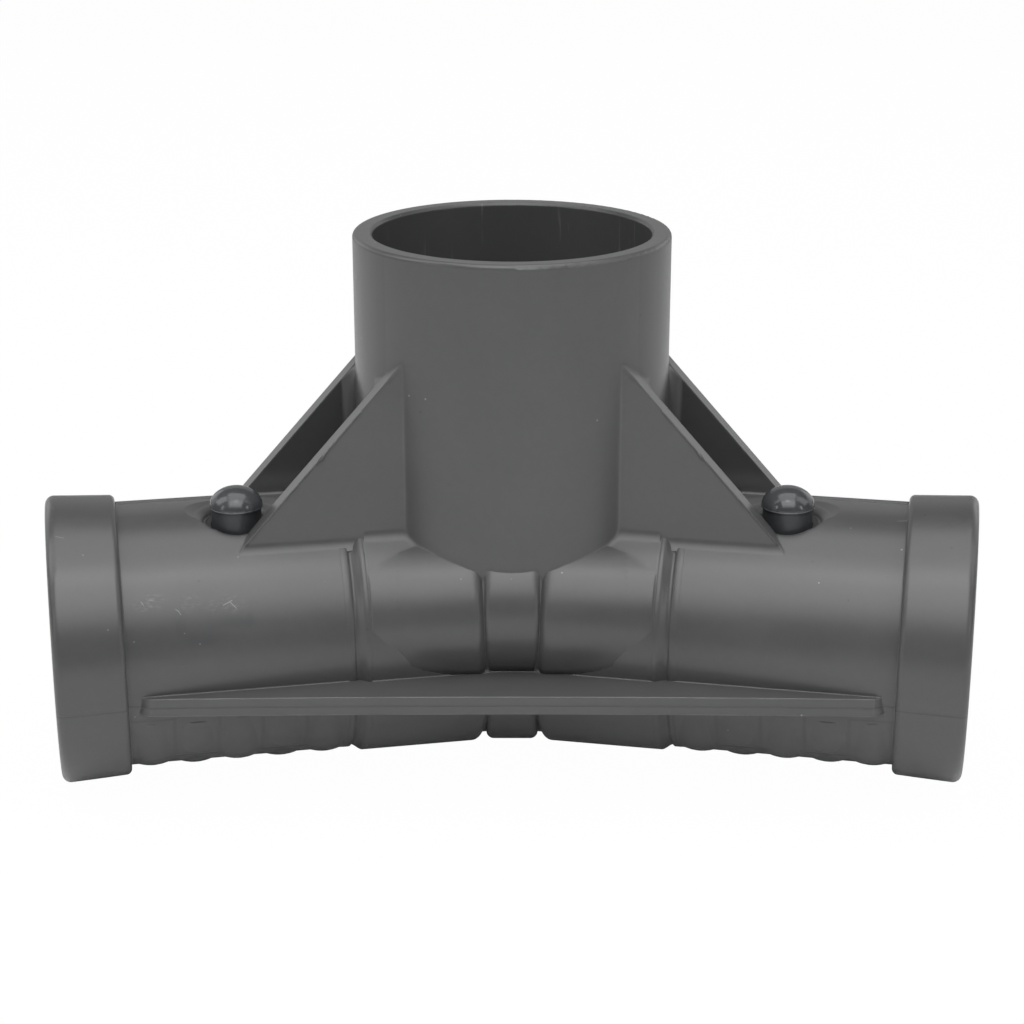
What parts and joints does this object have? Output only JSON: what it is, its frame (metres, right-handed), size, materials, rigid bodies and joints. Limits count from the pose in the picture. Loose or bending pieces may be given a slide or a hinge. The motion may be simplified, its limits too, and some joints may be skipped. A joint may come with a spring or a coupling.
{
  "type": "pool frame tee fitting",
  "caption": "Tee fitting for a pool frame: an upright leg socket over angled rail sockets, with corner plates, a front ledge, a woven relief and push pins.",
  "frame": {"origin": "middle of the leg socket's seat, on the leg's axis", "axes": "+Z along the leg socket, out of its mouth; +X along the frame from the left rail socket to the right one; -Y towards the pool's inner side, where the ledge is"},
  "size_m": [0.1796, 0.076, 0.0991],
  "materials": {
    "body_plastic": "fine matt mould texture",
    "pin_plastic": "smooth moulded gloss"
  },
  "bodies": {
    "tee": {"tee_body": "body_plastic"},
    "push_pin_left": {"pin_left": "pin_plastic"},
    "push_pin_right": {"pin_right": "pin_plastic"}
  },
  "joints": [
    {"name": "pin_left_press", "type": "slide", "parent": "tee", "child": "push_pin_left", "axis": [0, 0, -1], "range_m": [0, 0.0028]},
    {"name": "pin_right_press", "type": "slide", "parent": "tee", "child": "push_pin_right", "axis": [0, 0, -1], "range_m": [0, 0.0028]}
  ]
}
